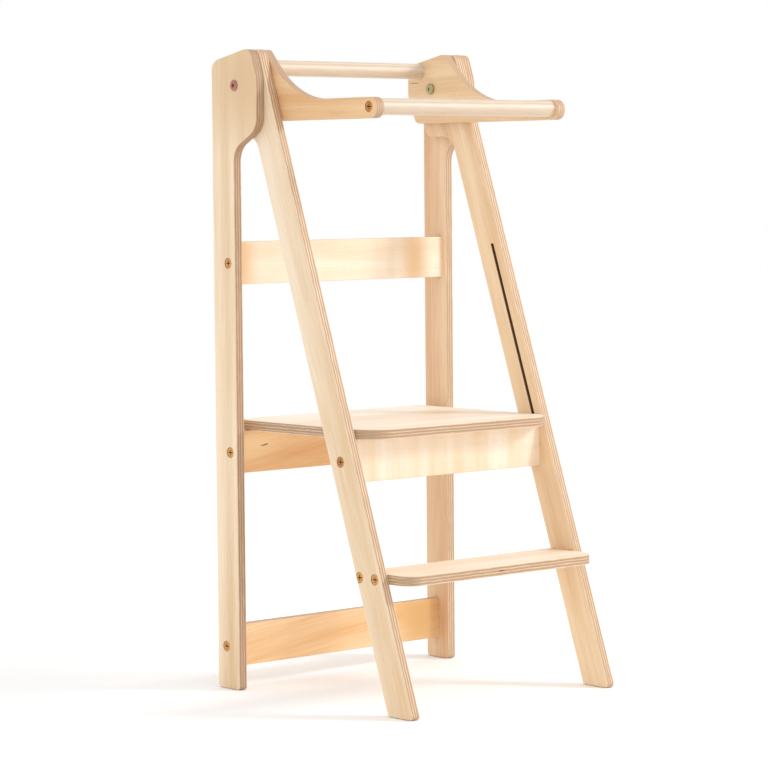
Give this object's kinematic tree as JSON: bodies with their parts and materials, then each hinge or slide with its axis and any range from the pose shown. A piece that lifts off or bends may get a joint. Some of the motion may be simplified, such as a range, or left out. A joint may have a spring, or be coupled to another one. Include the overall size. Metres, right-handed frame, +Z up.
{
  "type": "step ladder",
  "caption": "Folding plywood step ladder for a child: a low step, a high standing platform and a waist guard of two arms and round rails on pivots at the top.",
  "frame": {"origin": "on the floor, under the middle of the unfolded ladder's bounding box", "axes": "+Z up; the climbing side with the low step faces -Y; +X and -X are the two sides, which mirror each other"},
  "size_m": [0.4424, 0.417, 0.95],
  "materials": {
    "leg_ply": "clear-oiled birch plywood",
    "slant_ply": "clear-oiled birch plywood",
    "rail_ply": "clear-oiled birch plywood",
    "apron_ply": "clear-oiled birch plywood",
    "step_ply": "clear-oiled birch plywood",
    "deck_ply": "clear-oiled birch plywood",
    "arm_ply": "clear-oiled birch plywood",
    "dowel_birch": "sanded solid birch",
    "screw_brass": "satin, antiqued",
    "pivot_bronze": "satin, antiqued",
    "washer_nylon": "plain moulded",
    "hinge_steel": "zinc plated",
    "hinge_pin_steel": "ground"
  },
  "bodies": {
    "rear_frame": {"vertical_leg_left": "leg_ply", "vertical_leg_right": "leg_ply", "rail_upper": "rail_ply", "rail_middle": "rail_ply", "rail_lower": "rail_ply", "rail_screws": "screw_brass", "pivot_bolts": "pivot_bronze", "pivot_nuts": "pivot_bronze", "pivot_washers": "washer_nylon", "rail_hinge_leaves": "hinge_steel", "hinge_pins": "hinge_pin_steel", "rail_hinge_screws": "hinge_steel"},
    "front_frame": {"slanted_leg_left": "slant_ply", "slanted_leg_right": "slant_ply", "front_apron": "apron_ply", "lower_step": "step_ply", "apron_screws": "screw_brass", "step_screws": "screw_brass"},
    "platform": {"platform_board": "deck_ply", "platform_hinge_leaves": "hinge_steel", "platform_hinge_screws": "hinge_steel"},
    "guide_pins": {"guide_pin_left": "hinge_pin_steel", "guide_pin_right": "hinge_pin_steel"},
    "guard": {"guard_arm_left": "arm_ply", "guard_arm_right": "arm_ply", "guard_dowel_rear": "dowel_birch", "guard_dowel_front": "dowel_birch", "guard_screws": "screw_brass"}
  },
  "joints": [
    {"name": "frame_fold", "type": "hinge", "parent": "rear_frame", "child": "front_frame", "pos_m": [0, 0.1545, 0.898], "axis": [1, 0, 0], "range_deg": [0, 20]},
    {"name": "platform_lift", "type": "hinge", "parent": "rear_frame", "child": "platform", "pos_m": [0, 0.184, 0.3845], "axis": [-1, 0, 0], "range_deg": [0, 73.5]},
    {"name": "guide_pin_slide", "type": "slide", "parent": "front_frame", "child": "guide_pins", "axis": [0, 0.3255, 0.9455], "range_m": [0, 0.264]},
    {"name": "guard_fold", "type": "hinge", "parent": "rear_frame", "child": "guard", "pos_m": [0, 0.1545, 0.898], "axis": [1, 0, 0], "range_deg": [0, 64]}
  ],
  "couplings": [
    {"joint": "platform_lift", "follows": "frame_fold", "ratio": 3.665},
    {"joint": "guide_pin_slide", "follows": "frame_fold", "m_per_rad": 0.7556}
  ]
}
